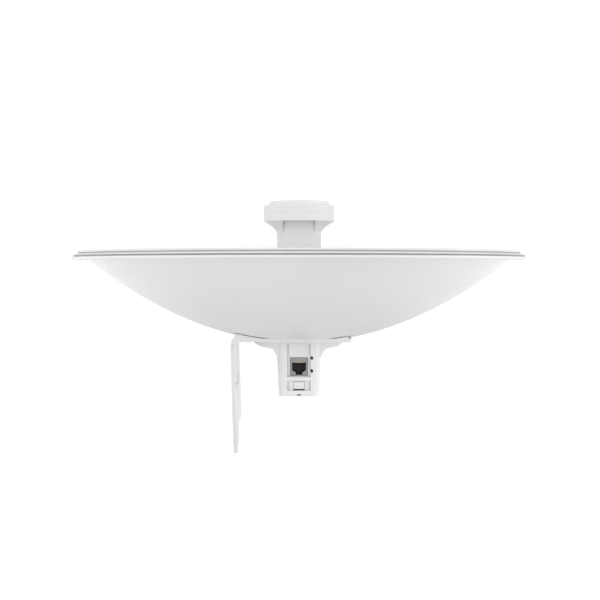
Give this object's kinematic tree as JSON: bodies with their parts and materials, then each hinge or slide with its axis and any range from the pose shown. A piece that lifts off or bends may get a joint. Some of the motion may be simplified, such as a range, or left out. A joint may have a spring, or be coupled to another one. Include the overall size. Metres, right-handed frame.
{
  "type": "outdoor wireless bridge",
  "caption": "Dish antenna on a folded steel bracket with a pull-out radio feed, sealed head, network port, reset button and release latch.",
  "frame": {"origin": "centre of the pivot hole, on the outer face of the bracket's side plate", "axes": "+Z along the dish's axis, out of its mouth; the network port faces -Y; the bracket's side plate is square to X and its outer face looks toward -X"},
  "size_m": [0.419, 0.419, 0.236],
  "materials": {
    "dish_paint": "satin white powder coat",
    "bracket_paint": "satin white powder coat",
    "housing_plastic": "fine matt white moulding",
    "feed_plastic": "semi-gloss white moulding",
    "zinc_steel": "zinc plated",
    "gasket_rubber": "soft black rubber",
    "plate_aluminium": "plain rolled",
    "spacer_foam": "rigid white foam",
    "circuit_board": "green solder mask",
    "contact_brass": "gold-flashed",
    "shield_steel": "tinned sheet",
    "chip_plastic": "moulded black",
    "pad_rubber": "soft grey silicone",
    "lens_plastic": "dark smoked",
    "button_plastic": "moulded black",
    "socket_plastic": "moulded black"
  },
  "bodies": {
    "reflector": {"dish_reflector": "dish_paint", "mounting_bracket": "bracket_paint", "rear_housing": "housing_plastic", "bracket_bolts": "zinc_steel", "bracket_nuts": "zinc_steel", "housing_screws": "zinc_steel"},
    "feed": {"hub_gasket": "gasket_rubber", "feed_body": "feed_plastic", "feed_cap": "feed_plastic", "cap_seal": "gasket_rubber", "ground_plate": "plate_aluminium", "dielectric_spacer": "spacer_foam", "subreflector": "plate_aluminium", "dipole_board_x": "circuit_board", "dipole_board_y": "circuit_board", "antenna_pins": "contact_brass", "main_board": "circuit_board", "radio_shield": "shield_steel", "processor_shield": "shield_steel", "radio_chip": "chip_plastic", "processor_chip": "chip_plastic", "thermal_pad": "pad_rubber", "memory_chip": "chip_plastic", "ethernet_transformer": "chip_plastic", "capacitors": "plate_aluminium", "heat_spreader": "plate_aluminium", "status_led": "chip_plastic", "led_lens": "lens_plastic", "reset_switch": "chip_plastic", "rj45_shell": "shield_steel", "rj45_insert": "socket_plastic", "rj45_contacts": "contact_brass", "port_seal": "gasket_rubber", "tail_plug": "housing_plastic", "tail_screws": "zinc_steel"},
    "latch": {"release_latch": "feed_plastic"},
    "reset": {"reset_button": "button_plastic"}
  },
  "joints": [
    {"name": "feed_slide", "type": "slide", "parent": "reflector", "child": "feed", "axis": [0, 0, 1], "range_m": [0, 0.14]},
    {"name": "latch_flex", "type": "hinge", "parent": "feed", "child": "latch", "pos_m": [0.061, -0.0181, 0.0538], "axis": [1, 0, 0], "range_deg": [0, 10], "stiffness_Nm_per_rad": 0.05},
    {"name": "reset_press", "type": "slide", "parent": "feed", "child": "reset", "axis": [0, 1, 0], "range_m": [0, 0.0008], "stiffness_N_per_m": 300}
  ]
}
